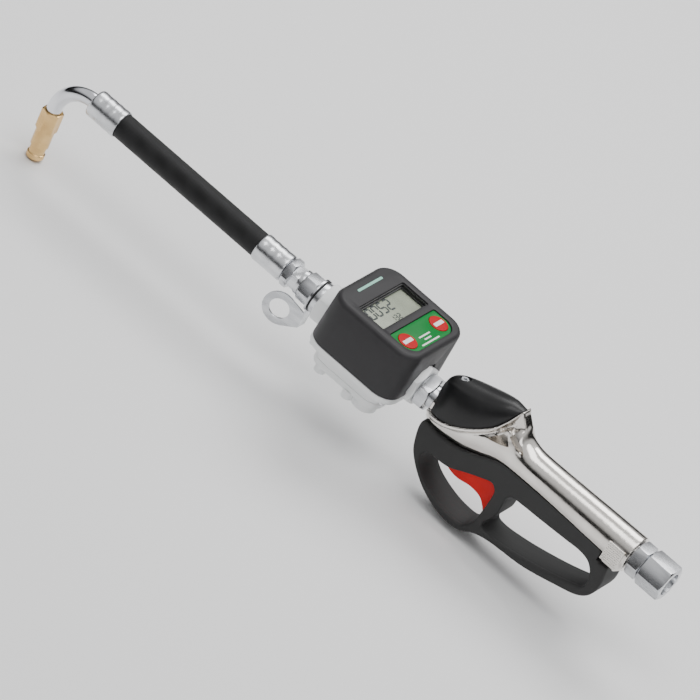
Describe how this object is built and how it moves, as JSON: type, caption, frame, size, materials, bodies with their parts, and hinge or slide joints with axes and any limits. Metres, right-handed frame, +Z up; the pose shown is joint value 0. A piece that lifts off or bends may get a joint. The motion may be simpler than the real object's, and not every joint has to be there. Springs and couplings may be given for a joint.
{
  "type": "oil control gun with digital meter",
  "caption": "Hand-held oil dispensing gun with a trigger valve, in-line digital flow meter, flexible hose and bent non-drip spout.",
  "frame": {"origin": "middle of the bounding box, at its bottom, level with the nozzle tip", "axes": "+X runs along the outlet axis from the inlet to the nozzle, +Y is the left side, +Z is up, away from the hand guard"},
  "size_m": [0.598, 0.082, 0.1184],
  "materials": {
    "nickel": "bright nickel plate on a smooth casting",
    "black_nylon": "black, lightly grained",
    "zinc": "bright zinc plate",
    "steel": "ground steel",
    "brass": "turned",
    "nozzle_brass": "turned",
    "rubber": "moulded seal",
    "red_plastic": "red, satin",
    "white_casting": "near-white paint on a casting",
    "gear_plastic": "natural white",
    "charcoal_plastic": "charcoal, lightly grained",
    "clear_window": "clear",
    "display": "grey-green display",
    "board": "green laminate",
    "battery_label": "printed sleeve",
    "green_label": "green overlay",
    "red_button": "red overlay",
    "hose_rubber": "fabric-finished black hose",
    "spout_steel": "zinc-plated tube"
  },
  "bodies": {
    "gun": {"gun_body": "nickel", "guard": "black_nylon", "top_cover": "black_nylon", "cover_screw": "zinc", "valve_cap": "brass", "valve_seat": "brass", "valve_spring": "steel", "stem_seal": "rubber", "trigger_pin": "steel", "guard_screw_front": "zinc", "guard_screw_rear": "zinc", "inlet_adaptor": "zinc", "swivel_seal": "rubber", "union_nut": "zinc", "meter_body": "white_casting", "meter_base_cover": "white_casting", "base_cap": "white_casting", "base_screw_1": "zinc", "base_screw_2": "zinc", "base_screw_3": "zinc", "base_screw_4": "zinc", "lip_screw_1": "zinc", "lip_screw_2": "zinc", "lip_screw_3": "zinc", "lip_screw_4": "zinc", "chamber_seal": "rubber", "drive_shaft": "steel", "driven_shaft": "steel", "meter_cover": "charcoal_plastic", "lcd_window": "clear_window", "lcd_module": "display", "circuit_board": "board", "battery": "battery_label", "keypad": "green_label", "lock_ring": "zinc", "port_gasket": "rubber", "hanger_ring": "zinc", "outlet_nipple": "zinc", "hose_coupling": "zinc", "rear_ferrule": "zinc", "hose": "hose_rubber"},
    "trigger": {"trigger": "red_plastic"},
    "valve": {"valve_stem": "steel"},
    "swivel_nut": {"inlet_swivel_nut": "zinc"},
    "gear_a": {"drive_gear": "gear_plastic"},
    "gear_b": {"driven_gear": "gear_plastic"},
    "total_key": {"total_button": "red_button"},
    "reset_key": {"reset_button": "red_button"},
    "spout": {"front_ferrule": "zinc", "spout_tube": "spout_steel", "nozzle_body": "nozzle_brass", "nozzle_tip": "nozzle_brass", "nozzle_spring": "steel"},
    "check_valve": {"nozzle_poppet": "steel"}
  },
  "joints": [
    {"name": "trigger_pull", "type": "hinge", "parent": "gun", "child": "trigger", "pos_m": [-0.10603, 0, 0.04742], "axis": [0, 1, 0], "range_deg": [0, 10], "stiffness_Nm_per_rad": 1.5},
    {"name": "valve_lift", "type": "slide", "parent": "gun", "child": "valve", "axis": [0, 0, 1], "range_m": [0, 0.0019], "deforming": ["valve_spring"]},
    {"name": "inlet_swivel", "type": "hinge", "parent": "gun", "child": "swivel_nut", "pos_m": [-0.28803, 0, 0.08392], "axis": [1, 0, 0], "continuous": true},
    {"name": "gear_a_spin", "type": "hinge", "parent": "gun", "child": "gear_a", "pos_m": [-0.01753, 0.012, 0.07342], "axis": [0, 0, 1], "continuous": true},
    {"name": "gear_b_spin", "type": "hinge", "parent": "gun", "child": "gear_b", "pos_m": [-0.01753, -0.012, 0.07342], "axis": [0, 0, 1], "continuous": true},
    {"name": "total_press", "type": "slide", "parent": "gun", "child": "total_key", "axis": [0, 0, -1], "range_m": [0, 0.0008], "stiffness_N_per_m": 1500},
    {"name": "reset_press", "type": "slide", "parent": "gun", "child": "reset_key", "axis": [0, 0, -1], "range_m": [0, 0.0008], "stiffness_N_per_m": 1500},
    {"name": "spout_flex", "type": "hinge", "parent": "gun", "child": "spout", "pos_m": [0.16987, 0, 0.07342], "axis": [0, 1, 0], "range_deg": [-20, 20], "stiffness_Nm_per_rad": 20, "deforming": ["hose"]},
    {"name": "nozzle_check", "type": "slide", "parent": "spout", "child": "check_valve", "axis": [-0.1219, 0, -0.9925], "range_m": [0, 0.0022], "stiffness_N_per_m": 600, "deforming": ["nozzle_spring"]}
  ],
  "couplings": [
    {"joint": "valve_lift", "follows": "trigger_pull", "m_per_rad": 0.0108},
    {"joint": "gear_b_spin", "follows": "gear_a_spin", "ratio": -1}
  ]
}
